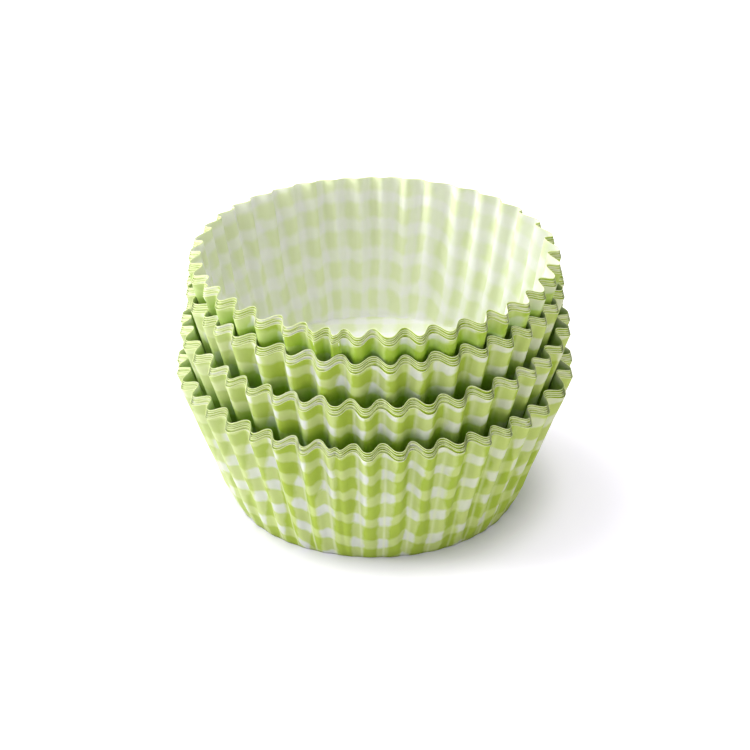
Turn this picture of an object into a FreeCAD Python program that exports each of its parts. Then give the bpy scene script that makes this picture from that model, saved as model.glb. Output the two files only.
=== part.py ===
"""Stack of cupcake liners: twenty pleated paper cups in four nested bundles of five.

Each bundle has its own splay, so it has one master cup, drawn from one pleat: three sketched
outlines of the pleat (foot, knee and rim) are lofted and patterned round the axis, and a round
floor closes the bottom. The other four cups of the bundle are copies of the master, each lifted
by the nesting step. Lengths are in millimetres, +Z is up, and the origin is the middle of the
lowest floor's underside.
"""
import math
import os

import FreeCAD
import Part
import Sketcher

V = FreeCAD.Vector
doc = FreeCAD.newDocument("CupcakeLiners")

# ---------------------------------------------------------------- driving dimensions
SIZES = {
    "pleats": 40,            # pleats round one cup
    "paper": 0.05,           # thickness of the greaseproof paper
    "nest_step": 0.4,        # lift from one cup to the next inside a bundle
    "flank_angle": 50,       # how steeply a pleat's side stands, seen from above (degrees)
    "foot_radius": 25.3,     # crest radius where the wall leaves the floor
    "foot_depth": 0.12,      # crest to fold there
    "knee_height": 3,        # where the rounded bottom corner has become the straight wall
    "knee_radius": 26.95,    # crest radius there
    "knee_depth": 0.55,
    "rim_depth": 1.9,        # crest to fold at the rim
    "floor_radius": 25.24,
    # bundle a is the lowest and widest, bundle d the highest and narrowest
    "rim_radius_a": 34.82, "rim_height_a": 24.66, "lift_a": 0, "turn_a": 6.6,
    "rim_radius_b": 33.84, "rim_height_b": 25.02, "lift_b": 7.39, "turn_b": 6.1,
    "rim_radius_c": 32.69, "rim_height_c": 25.38, "lift_c": 14.49, "turn_c": 4.2,
    "rim_radius_d": 32.15, "rim_height_d": 25.54, "lift_d": 19.04, "turn_d": 3.7,
}
sheet = doc.addObject("Spreadsheet::Sheet", "Sizes")
for row, (alias, number) in enumerate(SIZES.items(), 1):
    sheet.set(f"A{row}", alias)
    sheet.set(f"B{row}", str(number))
    sheet.setAlias(f"B{row}", alias)
doc.recompute()


class Q:
    """A length or angle that is known both as a number and as an expression on the sheet."""

    def __init__(self, value, text):
        self.value, self.text = value, text

    @staticmethod
    def of(x):
        return x if isinstance(x, Q) else Q(float(x), repr(float(x)))

    def __add__(self, o):
        o = Q.of(o)
        return Q(self.value + o.value, f"({self.text} + {o.text})")

    def __sub__(self, o):
        o = Q.of(o)
        return Q(self.value - o.value, f"({self.text} - {o.text})")

    def __mul__(self, o):
        o = Q.of(o)
        return Q(self.value * o.value, f"({self.text} * {o.text})")

    def __truediv__(self, o):
        o = Q.of(o)
        return Q(self.value / o.value, f"({self.text} / {o.text})")


def cell(alias):
    return Q(float(SIZES[alias]), f"Sizes.{alias}")


def sine(a):
    return Q(math.sin(math.radians(a.value)), f"sin({a.text})")


def cosine(a):
    return Q(math.cos(math.radians(a.value)), f"cos({a.text})")


def plane(body, role):
    return [o for o in body.Origin.OriginFeatures if o.Role == role][0]


def half_pleat(radius, depth):
    """Corners of half a pleat seen from above, crest first: outer line, then inner line."""
    paper = cell("paper")
    half = Q.of(180.0) / cell("pleats")
    flank = cell("flank_angle")
    fold = radius - depth
    across = fold * sine(half)
    inward = radius - fold * cosine(half)
    det = sine(half) * cosine(flank) - sine(flank) * (cosine(half) + 1)
    flat = (inward * cosine(flank) - sine(flank) * across) / det
    side = (sine(half) * across - (cosine(half) + 1) * inward) / det
    crest = (radius, flat)
    foot_of_side = (radius - side * sine(flank), flat + side * cosine(flank))
    bottom = (fold * cosine(half), fold * sine(half))
    outer = [crest, foot_of_side, bottom]
    # The inner line runs one paper thickness inside, so each corner moves along its mitre.
    facing = [Q.of(0.0), flank, half, half]
    inner = []
    for point, a, b in zip(outer, facing, facing[1:]):
        middle = (a + b) / 2
        reach = paper / cosine((b - a) / 2)
        inner.append((point[0] - reach * cosine(middle), point[1] - reach * sine(middle)))
    return outer, inner


def outline(body, name, radius, depth, height):
    """Sketch of one whole pleat's section, closed along the two radial lines beside it."""
    sketch = body.newObject("Sketcher::SketchObject", name)
    sketch.AttachmentSupport = [(plane(body, "XY_Plane"), "")]
    sketch.MapMode = "FlatFace"
    outer, inner = half_pleat(radius, depth)
    upper = outer + inner[::-1]                      # crest to fold outside, fold to crest inside
    n = len(upper)
    up = [V(x.value, y.value, 0) for x, y in upper]
    down = [V(p.x, -p.y, 0) for p in up]
    ids_up = [sketch.addGeometry(Part.LineSegment(a, b), False) for a, b in zip(up, up[1:])]
    ids_dn = [sketch.addGeometry(Part.LineSegment(a, b), False) for a, b in zip(down, down[1:])]
    crest_out = sketch.addGeometry(Part.LineSegment(up[0], down[0]), False)
    crest_in = sketch.addGeometry(Part.LineSegment(up[-1], down[-1]), False)
    rules = []
    for ids in (ids_up, ids_dn):
        rules += [Sketcher.Constraint("Coincident", a, 2, b, 1) for a, b in zip(ids, ids[1:])]
    rules.append(Sketcher.Constraint("Coincident", crest_out, 1, ids_up[0], 1))
    rules.append(Sketcher.Constraint("Coincident", crest_out, 2, ids_dn[0], 1))
    rules.append(Sketcher.Constraint("Coincident", crest_in, 1, ids_up[-1], 2))
    rules.append(Sketcher.Constraint("Coincident", crest_in, 2, ids_dn[-1], 2))
    for k in range(n):
        g, p = (ids_up[k], 1) if k < n - 1 else (ids_up[-1], 2)
        h, q = (ids_dn[k], 1) if k < n - 1 else (ids_dn[-1], 2)
        rules.append(Sketcher.Constraint("Symmetric", g, p, h, q, -1))
    sketch.addConstraint(rules)
    for k in range(n):
        g, p = (ids_up[k], 1) if k < n - 1 else (ids_up[-1], 2)
        for kind, size in (("DistanceX", upper[k][0]), ("DistanceY", upper[k][1])):
            at = sketch.addConstraint(Sketcher.Constraint(kind, -1, 1, g, p, size.value))
            sketch.setExpression(f"Constraints[{at}]", size.text)
    if height:
        sketch.setExpression("AttachmentOffset.Base.z", height)
    return sketch


def master(label, bundle):
    """First cup of a bundle: the round floor, one lofted pleat, and that pleat 40 times round."""
    body = doc.addObject("PartDesign::Body", label)
    body.Label = label
    disc = body.newObject("Sketcher::SketchObject", f"floor_outline_{bundle}")
    disc.AttachmentSupport = [(plane(body, "XY_Plane"), "")]
    disc.MapMode = "FlatFace"
    edge = disc.addGeometry(Part.Circle(V(0, 0, 0), V(0, 0, 1), SIZES["floor_radius"]), False)
    disc.addConstraint(Sketcher.Constraint("Coincident", edge, 3, -1, 1))
    at = disc.addConstraint(Sketcher.Constraint("Radius", edge, SIZES["floor_radius"]))
    disc.setExpression(f"Constraints[{at}]", "Sizes.floor_radius")
    floor = body.newObject("PartDesign::Pad", f"floor_{bundle}")
    floor.Profile = disc
    floor.setExpression("Length", "Sizes.paper")
    foot = outline(body, f"foot_outline_{bundle}", cell("foot_radius"), cell("foot_depth"), None)
    knee = outline(body, f"knee_outline_{bundle}", cell("knee_radius"), cell("knee_depth"), "Sizes.knee_height")
    rim = outline(body, f"rim_outline_{bundle}", cell(f"rim_radius_{bundle}"), cell("rim_depth"), f"Sizes.rim_height_{bundle}")
    doc.recompute()
    pleat = body.newObject("PartDesign::AdditiveLoft", f"pleat_{bundle}")
    pleat.Profile = foot
    pleat.Sections = [knee, rim]
    pleat.Ruled = True
    pleat.Refine = False
    doc.recompute()
    ring = body.newObject("PartDesign::PolarPattern", f"wall_{bundle}")
    ring.Refine = False
    ring.Originals = [pleat]
    ring.Axis = (plane(body, "Z_Axis"), [""])
    ring.Angle = 360
    ring.setExpression("Occurrences", "Sizes.pleats")
    body.Tip = ring
    return body


def copy_of(source, label):
    body = doc.addObject("PartDesign::Body", label)
    body.Label = label
    same = body.newObject("PartDesign::FeatureBase", f"{label}_same")
    same.BaseFeature = source
    body.Tip = same
    return body


def stand(body, bundle, place):
    """Lifts a cup to its place in the stack and turns its pleats."""
    body.setExpression("Placement.Base.z", f"Sizes.lift_{bundle} + {place} * Sizes.nest_step")
    body.setExpression("Placement.Rotation.Axis.z", "1")
    body.setExpression("Placement.Rotation.Angle", f"Sizes.turn_{bundle}")


# ---------------------------------------------------------------- the twenty cups
liners = []
for bundle in "abcd":
    first = len(liners) + 1
    cup = master(f"liner_{first:02d}", bundle)
    doc.recompute()
    cups = [cup] + [copy_of(cup, f"liner_{first + k:02d}") for k in range(1, 5)]
    for place, one in enumerate(cups):
        stand(one, bundle, place)
    liners += cups
doc.recompute()

# ---------------------------------------------------------------- test and write
os.makedirs("parts", exist_ok=True)
for thing in doc.Objects:
    if "Invalid" in thing.State or "Error" in thing.State:
        raise RuntimeError(f"{thing.Label} did not build: {thing.State}")
for cup in liners:
    shape = cup.Shape
    if shape.isNull() or not shape.isValid() or len(shape.Solids) != 1:
        raise RuntimeError(f"{cup.Label} is not one valid solid")
    shape.exportStep(f"parts/{cup.Label}.step")
    box = shape.BoundBox
    print(f"{cup.Label}: volume {shape.Volume:.1f} mm3, z {box.ZMin:.2f} to {box.ZMax:.2f}, x {box.XMin:.2f} to {box.XMax:.2f}, faces {len(shape.Faces)}")
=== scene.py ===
import math

import bpy
import numpy as np
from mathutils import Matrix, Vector


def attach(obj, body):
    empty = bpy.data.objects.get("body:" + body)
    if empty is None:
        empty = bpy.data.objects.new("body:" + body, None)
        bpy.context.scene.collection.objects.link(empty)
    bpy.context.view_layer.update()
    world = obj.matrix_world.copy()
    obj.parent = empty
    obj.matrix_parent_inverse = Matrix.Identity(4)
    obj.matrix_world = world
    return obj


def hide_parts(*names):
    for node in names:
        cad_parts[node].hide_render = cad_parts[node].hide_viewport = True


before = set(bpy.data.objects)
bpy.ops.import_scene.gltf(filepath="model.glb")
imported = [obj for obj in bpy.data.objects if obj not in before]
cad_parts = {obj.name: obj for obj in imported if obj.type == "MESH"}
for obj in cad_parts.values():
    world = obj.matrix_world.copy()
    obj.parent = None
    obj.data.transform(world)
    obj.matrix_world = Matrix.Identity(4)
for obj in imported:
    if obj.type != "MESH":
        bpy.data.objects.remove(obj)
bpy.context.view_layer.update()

MM = 0.001
rng = np.random.default_rng(40)

# ------------------------------------------------------------------ camera
ELEV, DIST, AIM = math.radians(28.33), 450.0, 21.92
cam_data = bpy.data.cameras.new("camera")
cam = bpy.data.objects.new("camera", cam_data)
bpy.context.scene.collection.objects.link(cam)
cam.location = (0, -DIST * math.cos(ELEV) * MM, (AIM + DIST * math.sin(ELEV)) * MM)
cam.rotation_euler = (math.pi / 2 - ELEV, 0, 0)
cam_data.sensor_width = 36.0
cam_data.lens = 122.73
cam_data.clip_start = 0.01
cam_data.clip_end = 20.0
bpy.context.scene.camera = cam

# ------------------------------------------------------------------ the four bundles
# Angles in degrees, seen from above, from the viewer's side (-Y) towards +X. Each bundle gives the
# folds that are known; the rest of the ring is filled with pleats of about the same width.
BUNDLES = [
    dict(nodes=range(1, 6), base=0.0, crest=34.82, rim=24.46, depth=2.0,
         folds=[-59.5, -50.7, -40.4, -32.4, -24.3, -16.7, -6.1, 2.1, 10.8, 19.8, 28.6, 36.5, 44.1, 52.7, 62.8],
         centre=13.3, row=0.0, stripe=0.26, weak={-11.4: 0.45}),
    dict(nodes=range(6, 11), base=7.39, crest=33.84, rim=32.21, depth=1.95,
         folds=[-59.8, -51.1, -43.0, -33.9, -25.2, -16.4, -7.3, 1.6, 11.1, 20.3, 29.9, 39.8, 49.4],
         centre=15.8, row=0.0, stripe=0.30, weak={}),
    dict(nodes=range(11, 16), base=14.49, crest=32.69, rim=39.67, depth=1.9,
         folds=[-65.4, -58.3, -51.2, -41.1, -30.1, -20.5, -10.4, -0.3, 9.1, 18.3, 28.6, 38.6, 49.0],
         centre=23.0, row=0.05, stripe=0.24, weak={}),
    dict(nodes=range(16, 21), base=19.04, crest=32.15, rim=44.38, depth=1.95,
         folds=[-41.8, -31.2, -22.5, -14.8, -9.6, -0.8, 9.2, 18.0, 28.4, 38.6, 47.2, 57.3, 66.7, 77.2,
                86.5, 97.5, 108.7, 120.0, 130.2, 140.1, 149.6, 160.0, 168.9, 177.5, 185.6, 194.3],
         centre=10.0, row=0.0, stripe=0.14, weak={}),
]
PER = 14                                    # columns of the mesh to one pleat
NEST = [0.0, 0.37, 0.76, 1.11, 1.50]        # lift of the five liners in a bundle
PITCH_AROUND = 5.15                         # one light and one green stripe of the print, in mm
PAPER = 0.035
WALL_T = np.array([0, 0.041, 0.102, 0.205, 0.369, 0.574, 0.779, 1.0])
WALL_Q = np.array([0, 0.053, 0.139, 0.252, 0.395, 0.603, 0.782, 1.0])


def ring_of_folds(known, like=None):
    gap = known[0] + 360 - known[-1]
    if like is not None:
        # cups settle with their pleats one in another
        more = np.concatenate([like, like + 360])
        more = more[(more > known[-1] + 6) & (more < known[0] + 354)]
        return np.concatenate([known, more + 0.35 * rng.standard_normal(len(more))])
    n = max(1, round(gap / 9.1))
    steps = 1 + 0.11 * rng.standard_normal(n)
    at = known[-1] + gap * np.cumsum(steps) / steps.sum()
    return np.array(list(known) + list(at[:-1]))


def noise_ring(theta, orders, size, gen):
    """A smooth closed wobble round the cup."""
    out = np.zeros_like(theta)
    for k in orders:
        out += gen.standard_normal() * np.cos(k * theta + gen.uniform(0, 2 * math.pi))
    return out * size / math.sqrt(len(orders))


def wave_of(bundle, per):
    """Angle, drop towards the fold (0 crest, 1 fold) and pleat strength at each column."""
    folds = bundle["ring"]
    nxt = np.append(folds[1:], folds[0] + 360)
    theta, drop = [], []
    for k, (a, b) in enumerate(zip(folds, nxt)):
        f = np.arange(per) / per
        lean = bundle["lean"][k]
        u = np.where(f < lean, (f - lean) / lean, (f - lean) / (1 - lean))
        g = 0.5 - 0.5 * np.cos(math.pi * np.abs(u) ** bundle["round"][k])
        g = g + 0.45 * (g * g * (3 - 2 * g) - g)
        # narrow pleats are a little shallower, and each differs from its neighbours
        deep0 = bundle["deep"][k]
        deep1 = bundle["deep"][(k + 1) % len(folds)]
        g = g * (deep0 * (1 - f) + deep1 * f)
        # a weak second crease inside a wide pleat
        mid = (a + b) / 2
        for where, force in bundle["weak"].items():
            if abs(where - mid) < 2:
                g = g + force * np.exp(-(((f - 0.52) / 0.10) ** 2))
        theta.append(a + (b - a) * f)
        drop.append(g)
    return np.radians(np.concatenate(theta)), np.concatenate(drop)


def liner_mesh(bundle, j, per, rows):
    """Points of one liner's outer face as grids of rows by columns (mm), and the length up the wall to each row.
    """
    theta, g = bundle["wave"][per]
    gen = np.random.default_rng(1000 + 10 * int(bundle["base"]) + j)
    height = bundle["rim"] - bundle["base"]
    t = rows
    q = np.interp(t, WALL_T, WALL_Q)
    crest = 25.3 + q * (bundle["crest"] - 25.3) - 0.095 * j * t
    depth = bundle["depth"] * (0.07 + 0.93 * t ** 0.62)
    rise = 0.68 * t ** 1.5
    wob = noise_ring(theta, [2, 3, 4, 5], 0.10, bundle["gen_wob"]()) * 1.0
    edge = noise_ring(theta, [3, 5, 7, 11, 16, 23], 0.08, gen) + bundle["trim"][j]
    T = t[:, None]
    r = crest[:, None] - depth[:, None] * g[None, :] + wob[None, :] * T ** 1.5
    z = (height + edge[None, :] * T ** 4) * T + rise[:, None] * g[None, :]
    # faint cross wrinkles and unevenness of pressed paper
    ripple = bundle["ripple"][per]
    r = r + ripple(T, theta[None, :]) * np.sin(math.pi * np.clip(T, 0, 1)) ** 0.5
    z = z + bundle["base"] + NEST[j]
    if bundle["holders"][j] is not None:
        # where a crest would pass through the cup that holds it, it is pressed in
        room = bundle["holders"][j](theta, z) - (0.125 if j else 0.16)
        r = np.minimum(r, room)
    # length up the wall from the floor to each row
    slant = np.concatenate([[0], np.cumsum(np.hypot(np.diff(crest), np.diff(height * t)))])
    return theta, r, z, slant


def print_coordinates(bundle, theta_deg, height, j):
    """Where a point lies on the print: one stripe to a pleat round the cup, and rows that climb
    away from the printed centre line. Both close on themselves at the back."""
    away = np.radians(theta_deg - bundle["centre"])
    low = 1 - np.clip(height / 24.0, 0, 1)
    turned = theta_deg[None, :] - np.degrees(0.16 * low[:, None] * np.sin(away)[None, :])
    folds = bundle["ring"]
    n = len(folds)
    many = np.concatenate([folds[-4:] - 360, folds, folds[:5] + 360])
    u = np.interp(turned, many, np.arange(-4, n + 5))
    row = np.interp(height, [-1.6, 4.0, 9.6, 15.0, 20.2, 25.0], [-1, 0, 1, 2, 3, 4])
    v = row[:, None] - 2.0 * (1 - np.cos(away))[None, :]
    # each pleat takes the print up a little differently, and nested cups do not match
    slip = np.interp(theta_deg, np.concatenate([folds, [folds[0] + 360]]), bundle["slip"])
    sway = np.sin(np.radians(theta_deg) * 7 + height[:, None] * 0.35 + bundle["base"])
    u = u + 0.05 * sway + np.interp(theta_deg, np.concatenate([folds, [folds[0] + 360]]), bundle["side"])[None, :]
    v = v + slip[None, :]
    return u - bundle["stripe"] + 0.5 + 0.37 * j, v + 0.5 + bundle["row"] + (0.44 + 0.03 * j if j else 0)


def make_liner(name, bundle, j, per, rows, floor_rings, materials):
    theta, r, z, slant = liner_mesh(bundle, j, per, rows)
    cols = len(theta)
    fold = bundle["wave"][per][1]
    x, y = r * np.sin(theta), -r * np.cos(theta)
    wall = np.stack([x, y, z], -1)                                  # rows x cols x 3
    rings = []
    foot = wall[0]
    z0 = bundle["base"] + NEST[j]
    for k, f in enumerate(floor_rings):
        ring = foot.copy()
        ring[:, :2] *= f
        # the floor is flat, and its edge rolls up into the wall
        ring[:, 2] = z0 + (0.12 if f > 0.985 else 0.0)
        rings.append(ring)
    grid = np.concatenate([np.stack(rings), wall]) if rings else wall
    grid[len(rings):, :, 2] += 0.0
    # normals of the grid, pointing out of the cup
    along = np.roll(grid, -1, 1) - np.roll(grid, 1, 1)
    up = np.empty_like(grid)
    up[1:-1] = grid[2:] - grid[:-2]
    up[0] = grid[1] - grid[0]
    up[-1] = grid[-1] - grid[-2]
    n = np.cross(along, up)
    n /= np.linalg.norm(n, axis=-1, keepdims=True) + 1e-12
    # floor rings face down
    inner = grid - n * PAPER
    nr = grid.shape[0]
    centre_out = np.array([0, 0, z0])
    centre_in = np.array([0, 0, z0 + PAPER])
    verts = np.concatenate([grid.reshape(-1, 3), inner.reshape(-1, 3), [centre_out, centre_in]]) * MM
    o, i_, co, ci = 0, nr * cols, 2 * nr * cols, 2 * nr * cols + 1

    a = np.arange(cols)
    b = (a + 1) % cols
    faces, mats, uvs, shades = [], [], [], []
    deg = np.degrees(theta)
    deg_ext = np.append(deg, deg[0] + 360)
    nf = len(rings)
    tall = (bundle["rim"] - bundle["base"]) * rows
    tall = np.concatenate([np.linspace(-3.0, 0, nf, endpoint=False), tall])
    U, W = print_coordinates(bundle, deg_ext, tall, j)
    # painted shade: how far down between two bundles a point lies, where only green light reaches, a little more
    # in the folds; the outer material turns it deep green
    deep = np.clip((bundle["next_rim"] + 2.6 - grid[:, :, 2]) / 3.4, 0, 1) ** 1.3
    deep = deep * (0.55 + 0.45 * np.clip(fold, 0, 1))[None, :]
    deep = np.append(deep, deep[:, :1], 1)
    # painted shade: the same on the inner face of a cup that holds another bundle, below its rim
    painted_pocket_shade = np.clip((bundle["rim"] + NEST[j] + 0.2 - grid[:, :, 2]) / 1.1, 0, 1) * bundle["holds"]
    painted_pocket_shade = np.append(painted_pocket_shade, painted_pocket_shade[:, :1], 1)
    flat_u = np.append(grid[:, :, 0], grid[:, :1, 0], 1) / PITCH_AROUND
    flat_v = np.append(grid[:, :, 1], grid[:, :1, 1], 1) / PITCH_AROUND
    for k in range(nr - 1):
        lo, hi = k * cols, (k + 1) * cols
        floor_face = k < nf - 1
        uu, vv = (flat_u, flat_v) if floor_face else (U, W)
        q_out = np.stack([lo + a, lo + b, hi + b, hi + a], 1)
        uq = np.stack([
            np.stack([uu[k, :-1], vv[k, :-1]], -1), np.stack([uu[k, 1:], vv[k, 1:]], -1),
            np.stack([uu[k + 1, 1:], vv[k + 1, 1:]], -1), np.stack([uu[k + 1, :-1], vv[k + 1, :-1]], -1)], 1)
        dq = np.stack([deep[k, :-1], deep[k, 1:], deep[k + 1, 1:], deep[k + 1, :-1]], 1)
        iq = np.stack([painted_pocket_shade[k, :-1], painted_pocket_shade[k, 1:], painted_pocket_shade[k + 1, 1:], painted_pocket_shade[k + 1, :-1]], 1)
        shades += [dq, iq[:, ::-1]]
        faces.append(q_out)
        uvs.append(uq)
        top = k == nr - 2
        mats.append(np.full(cols, 2 if top else 0))
        faces.append(i_ + q_out[:, ::-1])
        uvs.append(uq[:, ::-1])
        mats.append(np.full(cols, 2 if top else 1))
    hi = (nr - 1) * cols
    faces.append(np.stack([hi + a, hi + b, i_ + hi + b, i_ + hi + a], 1))
    uq = np.stack([np.stack([U[-1, :-1], W[-1, :-1]], -1), np.stack([U[-1, 1:], W[-1, 1:]], -1)], 1)
    uvs.append(uq[:, [0, 1, 1, 0]])
    shades.append(np.zeros((cols, 4)))
    mats.append(np.full(cols, 2))
    quads = np.concatenate(faces)
    quv = np.concatenate(uvs)
    qm = np.concatenate(mats)
    # the middle of the floor
    tri_out = np.stack([np.full(cols, co), b, a], 1)
    tri_in = np.stack([np.full(cols, ci), i_ + a, i_ + b], 1)
    fu = np.stack([flat_u[0, :-1], flat_v[0, :-1]], -1)
    fv = np.stack([flat_u[0, 1:], flat_v[0, 1:]], -1)
    zero = np.zeros_like(fu)
    tuv = np.concatenate([np.stack([zero, fv, fu], 1), np.stack([zero, fu, fv], 1)])
    tm = np.concatenate([np.zeros(cols), np.ones(cols)])

    me = bpy.data.meshes.new(name)
    me.vertices.add(len(verts))
    me.vertices.foreach_set("co", verts.astype(np.float32).ravel())
    loops = np.concatenate([quads.ravel(), tri_out.ravel(), tri_in.ravel()])
    me.loops.add(len(loops))
    me.loops.foreach_set("vertex_index", loops.astype(np.int32))
    nq, nt = len(quads), 2 * cols
    me.polygons.add(nq + nt)
    start = np.concatenate([np.arange(nq) * 4, nq * 4 + np.arange(nt) * 3])
    me.polygons.foreach_set("loop_start", start.astype(np.int32))
    me.polygons.foreach_set("material_index", np.concatenate([qm, tm]).astype(np.int32))
    me.polygons.foreach_set("use_smooth", np.ones(nq + nt, dtype=bool))
    me.update(calc_edges=True)
    uv = me.uv_layers.new(name="sheet")
    uv.data.foreach_set("uv", np.concatenate([quv.reshape(-1, 2), tuv.reshape(-1, 2)]).astype(np.float32).ravel())
    down = np.concatenate([np.concatenate(shades).ravel(), np.zeros(nt * 3)])
    # place within the pleat, from one fold to the next
    ph = (a % per) / per
    ph = np.stack([ph, ph + 1 / per, ph + 1 / per, ph], 1)
    phase = np.concatenate([np.concatenate([ph, ph[:, ::-1]])] * (nr - 1) + [ph[:, [0, 1, 1, 0]]])
    phase = np.concatenate([phase.ravel(), np.full(nt * 3, 0.5)])
    # the down map: painted shade in its first coordinate, place within the pleat in its second
    uv = me.uv_layers.new(name="down")
    uv.data.foreach_set("uv", np.stack([down, phase], -1).astype(np.float32).ravel())
    me.validate()
    for m in materials:
        me.materials.append(m)
    ob = bpy.data.objects.new(name, me)
    bpy.context.scene.collection.objects.link(ob)
    return ob


# ------------------------------------------------------------------ materials
def new_material(name):
    m = bpy.data.materials.new(name)
    m.use_nodes = True
    nt = m.node_tree
    nt.nodes.clear()
    return m, nt


def node(nt, kind, **sets):
    n = nt.nodes.new(kind)
    for k, v in sets.items():
        setattr(n, k, v)
    return n


def maths(nt, op, a, b=None, c=None, clamp=False):
    n = node(nt, "ShaderNodeMath", operation=op, use_clamp=clamp)
    for k, v in enumerate((a, b, c)):
        if v is None:
            continue
        if isinstance(v, (int, float)):
            n.inputs[k].default_value = v
        else:
            nt.links.new(v, n.inputs[k])
    return n.outputs[0]


def mix_colour(nt, fac, a, b, kind="MIX"):
    n = node(nt, "ShaderNodeMix", data_type="RGBA", blend_type=kind)
    for sock, v in ((n.inputs[0], fac), (n.inputs[6], a), (n.inputs[7], b)):
        if isinstance(v, (int, float)):
            sock.default_value = v
        elif isinstance(v, tuple):
            sock.default_value = (*v, 1)
        else:
            nt.links.new(v, sock)
    return n.outputs[2]


def check_print(nt, soft=0.10):
    """How many green stripes lie over a point: 0, 0.5 or 1."""
    uv = node(nt, "ShaderNodeUVMap", uv_map="sheet")
    tc = node(nt, "ShaderNodeTexCoord")
    wander = node(nt, "ShaderNodeTexNoise", noise_dimensions="3D")
    wander.inputs["Scale"].default_value = 330.0
    wander.inputs["Detail"].default_value = 2.0
    nt.links.new(tc.outputs["Object"], wander.inputs["Vector"])
    sep = node(nt, "ShaderNodeSeparateXYZ")
    nt.links.new(uv.outputs[0], sep.inputs[0])
    off = maths(nt, "MULTIPLY", maths(nt, "SUBTRACT", wander.outputs["Fac"], 0.5), 0.32)
    cover = []
    for axis, width in ((0, 0.45), (1, 0.41)):
        v = maths(nt, "ADD", sep.outputs[axis], off)
        f = maths(nt, "FRACT", v)
        tri = maths(nt, "MULTIPLY", maths(nt, "ABSOLUTE", maths(nt, "SUBTRACT", f, 0.5)), 2.0)
        mr = node(nt, "ShaderNodeMapRange", clamp=True)
        mr.inputs["From Min"].default_value = width - soft
        mr.inputs["From Max"].default_value = width + soft
        mr.inputs["To Min"].default_value = 0.0
        mr.inputs["To Max"].default_value = 1.0
        nt.links.new(tri, mr.inputs["Value"])
        cover.append(mr.outputs[0])
    return maths(nt, "MULTIPLY", maths(nt, "ADD", cover[0], cover[1]), 0.5), tc


def paper_surface(nt, tc, colour, glow, thin, rough=0.55, bump_size=0.00006):
    """Thin paper: a soft surface that also lets light through."""
    fibre = node(nt, "ShaderNodeTexNoise", noise_dimensions="3D")
    fibre.inputs["Scale"].default_value = 2600.0
    fibre.inputs["Detail"].default_value = 4.0
    nt.links.new(tc.outputs["Object"], fibre.inputs["Vector"])
    crease = node(nt, "ShaderNodeTexNoise", noise_dimensions="3D")
    crease.inputs["Scale"].default_value = 620.0
    crease.inputs["Detail"].default_value = 3.0
    crease.inputs["Distortion"].default_value = 0.6
    nt.links.new(tc.outputs["Object"], crease.inputs["Vector"])
    height = maths(nt, "ADD", maths(nt, "MULTIPLY", fibre.outputs["Fac"], 0.25), crease.outputs["Fac"])
    bump = node(nt, "ShaderNodeBump")
    bump.inputs["Strength"].default_value = 0.55
    bump.inputs["Distance"].default_value = bump_size
    nt.links.new(height, bump.inputs["Height"])
    p = node(nt, "ShaderNodeBsdfPrincipled")
    p.inputs["Roughness"].default_value = rough
    p.inputs["Specular IOR Level"].default_value = 0.35
    nt.links.new(colour, p.inputs["Base Color"])
    nt.links.new(bump.outputs[0], p.inputs["Normal"])
    tr = node(nt, "ShaderNodeBsdfTranslucent")
    nt.links.new(glow, tr.inputs["Color"])
    nt.links.new(bump.outputs[0], tr.inputs["Normal"])
    mix = node(nt, "ShaderNodeMixShader")
    mix.inputs[0].default_value = thin
    nt.links.new(p.outputs[0], mix.inputs[1])
    nt.links.new(tr.outputs[0], mix.inputs[2])
    out = node(nt, "ShaderNodeOutputMaterial")
    nt.links.new(mix.outputs[0], out.inputs["Surface"])


def mottled(nt, tc, colour, amount, scale=900.0):
    n = node(nt, "ShaderNodeTexNoise", noise_dimensions="3D")
    n.inputs["Scale"].default_value = scale
    n.inputs["Detail"].default_value = 3.0
    nt.links.new(tc.outputs["Object"], n.inputs["Vector"])
    shade = maths(nt, "ADD", maths(nt, "MULTIPLY", maths(nt, "SUBTRACT", n.outputs["Fac"], 0.5), amount), 1.0)
    v = node(nt, "ShaderNodeCombineColor")
    for k in range(3):
        nt.links.new(shade, v.inputs[k])
    return mix_colour(nt, 1.0, colour, v.outputs[0], "MULTIPLY")


def ramp3(nt, value, light, mid, dark):
    r = node(nt, "ShaderNodeValToRGB")
    r.color_ramp.elements[0].position = 0.0
    r.color_ramp.elements[0].color = (*light, 1)
    r.color_ramp.elements[1].position = 1.0
    r.color_ramp.elements[1].color = (*dark, 1)
    e = r.color_ramp.elements.new(0.5)
    e.color = (*mid, 1)
    nt.links.new(value, r.inputs[0])
    return r.outputs[0]


outside, nt = new_material("gingham_outside")
cover, tc = check_print(nt)
col = ramp3(nt, cover, (0.77, 0.78, 0.76), (0.595, 0.675, 0.25), (0.43, 0.55, 0.058))
col = mottled(nt, tc, col, 0.14)
col = mottled(nt, tc, col, 0.22, 260.0)
glow = ramp3(nt, cover, (0.86, 0.90, 0.70), (0.66, 0.80, 0.18), (0.46, 0.64, 0.02))
down = node(nt, "ShaderNodeUVMap", uv_map="down")
way = node(nt, "ShaderNodeSeparateXYZ")
nt.links.new(down.outputs[0], way.inputs[0])
# painted highlight: a pale line along one flank of each fold, broken up by noise
near = maths(nt, "DIVIDE", maths(nt, "ABSOLUTE", maths(nt, "SUBTRACT", way.outputs[1], 0.13)), 0.085)
highlight_breakup = node(nt, "ShaderNodeTexNoise", noise_dimensions="3D")
highlight_breakup.inputs["Scale"].default_value = 500.0
highlight_breakup.inputs["Detail"].default_value = 3.0
nt.links.new(tc.outputs["Object"], highlight_breakup.inputs["Vector"])
line = maths(nt, "MULTIPLY", maths(nt, "SUBTRACT", 1.0, near, clamp=True), maths(nt, "ADD", highlight_breakup.outputs["Fac"], 0.42), clamp=True)
where = node(nt, "ShaderNodeSeparateXYZ")
nt.links.new(tc.outputs["Object"], where.inputs[0])
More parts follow.
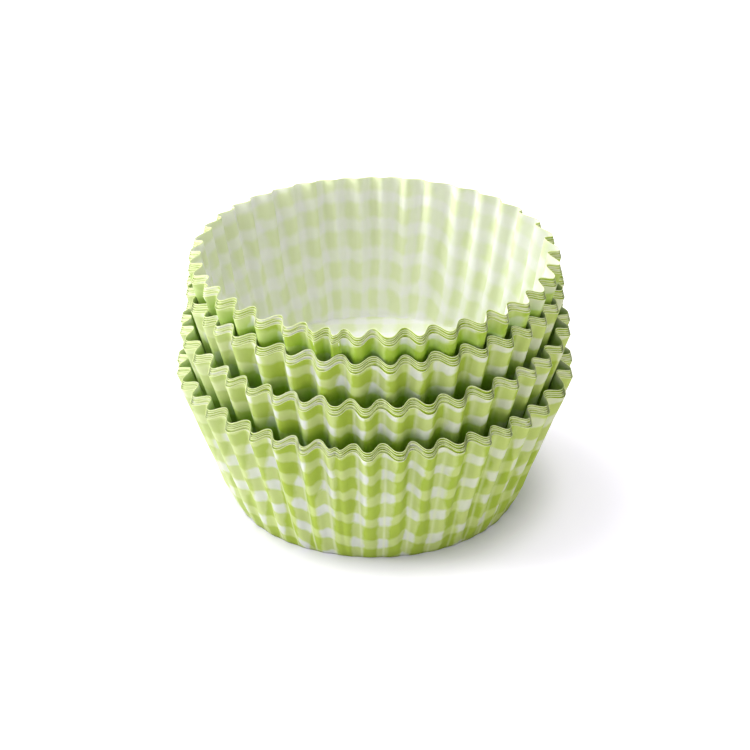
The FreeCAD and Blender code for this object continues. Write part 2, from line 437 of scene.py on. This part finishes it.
# painted highlight: the line is strongest on the -x side, where the lamps stand, and weaker on the +x side
highlight_towards_lamps = node(nt, "ShaderNodeMapRange")
highlight_towards_lamps.inputs["From Min"].default_value = -0.02
highlight_towards_lamps.inputs["From Max"].default_value = 0.03
highlight_towards_lamps.inputs["To Min"].default_value = 0.9
highlight_towards_lamps.inputs["To Max"].default_value = 0.4
nt.links.new(where.outputs[0], highlight_towards_lamps.inputs["Value"])
col = mix_colour(nt, maths(nt, "MULTIPLY", line, highlight_towards_lamps.outputs[0]), col, (0.88, 0.92, 0.62))
# painted shade and light: the sheet is darker and greener on the +x side, away from the lamps, and paler on the
# -x side, towards them
painted_shade_and_light = []
for low, high, most in ((0.0, 0.034, 1.0), (-0.016, -0.034, 0.5)):
    t = node(nt, "ShaderNodeMapRange")
    t.inputs["From Min"].default_value = low
    t.inputs["From Max"].default_value = high
    t.inputs["To Min"].default_value = 0.0
    t.inputs["To Max"].default_value = most
    nt.links.new(where.outputs[0], t.inputs["Value"])
    painted_shade_and_light.append(t.outputs[0])
col = mix_colour(nt, painted_shade_and_light[0], col, (0.97, 1.0, 0.62), "MULTIPLY")
col = mix_colour(nt, painted_shade_and_light[1], col, (0.90, 0.94, 0.66))
# painted shade: deep green low between two bundles, from the first coordinate of the down map
col = mix_colour(nt, maths(nt, "MULTIPLY", way.outputs[0], 0.92), col, (0.24, 0.47, 0.012))
paper_surface(nt, tc, col, glow, 0.33)

inside, nt = new_material("plain_inside")
cover, tc = check_print(nt, soft=0.16)
col = ramp3(nt, cover, (0.97, 0.97, 0.955), (0.925, 0.95, 0.83), (0.84, 0.90, 0.60))
col = mottled(nt, tc, col, 0.05)
down = node(nt, "ShaderNodeUVMap", uv_map="down")
way = node(nt, "ShaderNodeSeparateXYZ")
nt.links.new(down.outputs[0], way.inputs[0])
# painted shade: deep green on the inner face of a cup that holds another bundle
col = mix_colour(nt, maths(nt, "MULTIPLY", way.outputs[0], 0.9), col, (0.40, 0.60, 0.07))
# painted shade: the inside is darker on the +x side, the wall that faces the lamps
where = node(nt, "ShaderNodeSeparateXYZ")
nt.links.new(tc.outputs["Object"], where.inputs[0])
painted_inner_shade = node(nt, "ShaderNodeMapRange")
painted_inner_shade.inputs["From Min"].default_value = 0.008
painted_inner_shade.inputs["From Max"].default_value = 0.033
painted_inner_shade.inputs["To Min"].default_value = 0.0
painted_inner_shade.inputs["To Max"].default_value = 0.9
nt.links.new(where.outputs[0], painted_inner_shade.inputs["Value"])
col = mix_colour(nt, painted_inner_shade.outputs[0], col, (0.80, 0.82, 0.76), "MULTIPLY")
glow = ramp3(nt, cover, (0.92, 0.95, 0.84), (0.80, 0.90, 0.56), (0.66, 0.82, 0.34))
paper_surface(nt, tc, col, glow, 0.16)

edge, nt = new_material("cut_edge")
tc = node(nt, "ShaderNodeTexCoord")
flat = node(nt, "ShaderNodeRGB")
flat.outputs[0].default_value = (0.90, 0.95, 0.60, 1)
col = mottled(nt, tc, flat.outputs[0], 0.12)
paper_surface(nt, tc, col, col, 0.35, rough=0.6)

# ------------------------------------------------------------------ the twenty liners
def inner_radius(theta, r, z):
    """Radius of a cup as a function of angle and height, for the cups that stand in it."""
    # above its rim a cup still holds back a crest a little, so the room opens gradually
    above = np.linspace(0.4, 4.8, 12)[:, None]
    z = np.concatenate([z, z[-1:] + above])
    r = np.concatenate([r, r[-1:] + 0.2 * above + 0.07 * above ** 2])
    heights = np.arange(z.min(), z.max() + 0.3, 0.3)
    table = np.stack([np.interp(heights, z[:, c], r[:, c], right=99.0) for c in range(len(theta))], 1)
    at = np.concatenate([theta, theta + 2 * math.pi])

    def look(th, zz):
        th = (th - theta[0]) % (2 * math.pi) + theta[0]
        two = np.concatenate([table, table], 1)
        col = np.interp(th, at, np.arange(len(at)))
        c0 = np.floor(col).astype(int)
        c1 = (c0 + 1) % len(at)
        fc = col - c0
        h = np.clip((zz - heights[0]) / 0.3, 0, len(heights) - 1.001)
        h0 = np.floor(h).astype(int)
        fh = h - h0
        low = two[h0, c0[None, :]] * (1 - fc) + two[h0, c1[None, :]] * fc
        top = two[h0 + 1, c0[None, :]] * (1 - fc) + two[h0 + 1, c1[None, :]] * fc
        return np.where(zz > heights[-1] - 0.3, 99.0, low * (1 - fh) + top * fh)

    return look


# heights of the mesh rows, from the floor to the rim, for cups that are seen and for the others
fine = np.concatenate([[0, 0.02, 0.041, 0.07, 0.102, 0.15], np.linspace(0.205, 0.95, 14), [0.995, 1.0]])
coarse = fine[[0, 2, 4, 6, 8, 10, 12, 14, 15, 16, 17, 18, 19, 20, 21]]
master = ring_of_folds(BUNDLES[3]["folds"])
for n_b, b in enumerate(BUNDLES):
    b["ring"] = master if n_b == 3 else ring_of_folds(b["folds"], master)
    count = len(b["ring"])
    widths = np.diff(np.append(b["ring"], b["ring"][0] + 360))
    near = (widths + np.roll(widths, 1)) / 2
    b["deep"] = np.clip((near / 9.1) ** 0.6, 0.7, 1.08) * (1 + 0.035 * np.clip(rng.standard_normal(count), -2, 2))
    b["lean"] = np.clip(0.50 + 0.035 * rng.standard_normal(count), 0.43, 0.57)
    b["round"] = np.clip(1.02 + 0.05 * rng.standard_normal(count), 0.95, 1.15)
    slip = 0.13 * rng.standard_normal(count)
    b["slip"] = np.append(slip, slip[0])
    side = 0.09 * rng.standard_normal(count)
    b["side"] = np.append(side, side[0])
    b["wave"] = {PER: wave_of(b, PER)}
    # rim height of the bundle outside, from which the painted shade between bundles is measured
    b["next_rim"] = BUNDLES[n_b - 1]["rim"] + (1.5, 1.5, 1.6, 3.1)[n_b] if n_b else -50.0
    # only cups that hold another bundle get the painted pocket shade
    b["holds"] = 1.0 if n_b < 3 else 0.0
    seed = 7 + n_b
    b["gen_wob"] = lambda s=seed: np.random.default_rng(s)
    b["trim"] = [0.0, 0.03, -0.02, 0.03, 0.0]
    waves = [(rng.uniform(0.01, 0.028), rng.integers(3, 60), rng.uniform(0.5, 4), rng.uniform(0, 6.28)) for _ in range(9)]

    def ripple(T, th, waves=waves):
        out = 0.0
        for size, k, m, ph in waves:
            out = out + size * np.sin(k * th + m * T * 2 + ph)
        return out

    b["ripple"] = {PER: ripple}
    # each cup is held by the one outside it
    b["holders"] = [BUNDLES[n_b - 1]["last"] if n_b else None]
    for j in range(5):
        held = inner_radius(*liner_mesh(b, j, PER, fine if j == 0 or (n_b == 3 and j == 4) else coarse)[:3])
        b["holders"].append(held)
    b["last"] = held

for b in BUNDLES:
    for j, number in enumerate(b["nodes"]):
        name = f"liner_{number:02d}"
        shown = j == 0 or number == 20
        per, rows = PER, fine if shown else coarse
        rings = [0.12, 0.35, 0.6, 0.8, 0.93, 0.975, 0.992] if shown else [0.5, 0.9, 0.98]
        ob = make_liner(name + "_paper", b, j, per, rows, rings, [outside, inside, edge])
        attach(ob, "root")
        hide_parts(name)

# ------------------------------------------------------------------ floor
me = bpy.data.meshes.new("floor")
me.from_pydata([(-4, -4, 0), (4, -4, 0), (4, 4, 0), (-4, 4, 0)], [], [(0, 1, 2, 3)])
floor = bpy.data.objects.new("floor", me)
bpy.context.scene.collection.objects.link(floor)
white, nt = new_material("floor_white")
p = node(nt, "ShaderNodeBsdfPrincipled")
p.inputs["Base Color"].default_value = (0.925, 0.91, 0.955, 1)
# painted light: the glow is bluish, to take the green tint out of the shadow
p.inputs["Emission Color"].default_value = (0.86, 0.80, 1.0, 1)
# painted light: the floor glows more away from the subject, which lightens its shadow there
geo = node(nt, "ShaderNodeNewGeometry")
far = node(nt, "ShaderNodeVectorMath", operation="LENGTH")
nt.links.new(geo.outputs["Position"], far.inputs[0])
painted_floor_glow = node(nt, "ShaderNodeMapRange", interpolation_type="SMOOTHSTEP")
painted_floor_glow.inputs["From Min"].default_value = 0.0252
painted_floor_glow.inputs["From Max"].default_value = 0.036
painted_floor_glow.inputs["To Min"].default_value = 0.0
painted_floor_glow.inputs["To Max"].default_value = 0.33
nt.links.new(far.outputs["Value"], painted_floor_glow.inputs["Value"])
nt.links.new(painted_floor_glow.outputs[0], p.inputs["Emission Strength"])
# painted shadow: the floor is darker and bluer right round the base
painted_contact_shadow = node(nt, "ShaderNodeMapRange")
painted_contact_shadow.inputs["From Min"].default_value = 0.0255
painted_contact_shadow.inputs["From Max"].default_value = 0.033
nt.links.new(far.outputs["Value"], painted_contact_shadow.inputs["Value"])
nt.links.new(mix_colour(nt, painted_contact_shadow.outputs[0], (0.85, 0.825, 0.96), (0.925, 0.91, 0.955)), p.inputs["Base Color"])
p.inputs["Roughness"].default_value = 0.8
p.inputs["Specular IOR Level"].default_value = 0.2
out = node(nt, "ShaderNodeOutputMaterial")
nt.links.new(p.outputs[0], out.inputs["Surface"])
me.materials.append(white)

# ------------------------------------------------------------------ light
world = bpy.data.worlds.new("studio")
world.use_nodes = True
# soft room light, stronger from the left
wt = world.node_tree
wt.nodes["Background"].inputs[0].default_value = (1.0, 1.0, 1.0, 1)
way = node(wt, "ShaderNodeTexCoord")
side = node(wt, "ShaderNodeSeparateXYZ")
wt.links.new(way.outputs["Generated"], side.inputs[0])
room = node(wt, "ShaderNodeMapRange")
room.inputs["From Min"].default_value = -1.0
room.inputs["From Max"].default_value = 1.0
room.inputs["To Min"].default_value = 1.14
room.inputs["To Max"].default_value = 0.58
wt.links.new(side.outputs[0], room.inputs["Value"])
wt.links.new(room.outputs[0], wt.nodes["Background"].inputs[1])
bpy.context.scene.world = world


def area(name, place, target, size, power, colour=(1, 1, 1)):
    d = bpy.data.lights.new(name, "AREA")
    d.shape = "RECTANGLE"
    d.size, d.size_y = size
    d.energy = power
    d.color = colour
    o = bpy.data.objects.new(name, d)
    bpy.context.scene.collection.objects.link(o)
    o.location = place
    o.rotation_euler = (Vector(target) - Vector(place)).to_track_quat("-Z", "Y").to_euler()
    return o


area("key", (-0.45, 0.12, 0.88), (0, 0, 0.03), (0.60, 0.60), 5.8)
area("side", (-0.90, -0.05, 0.34), (0, 0, 0.03), (0.30, 0.40), 4.6)

view = bpy.context.scene.view_settings
view.view_transform = "Standard"
view.look = "None"
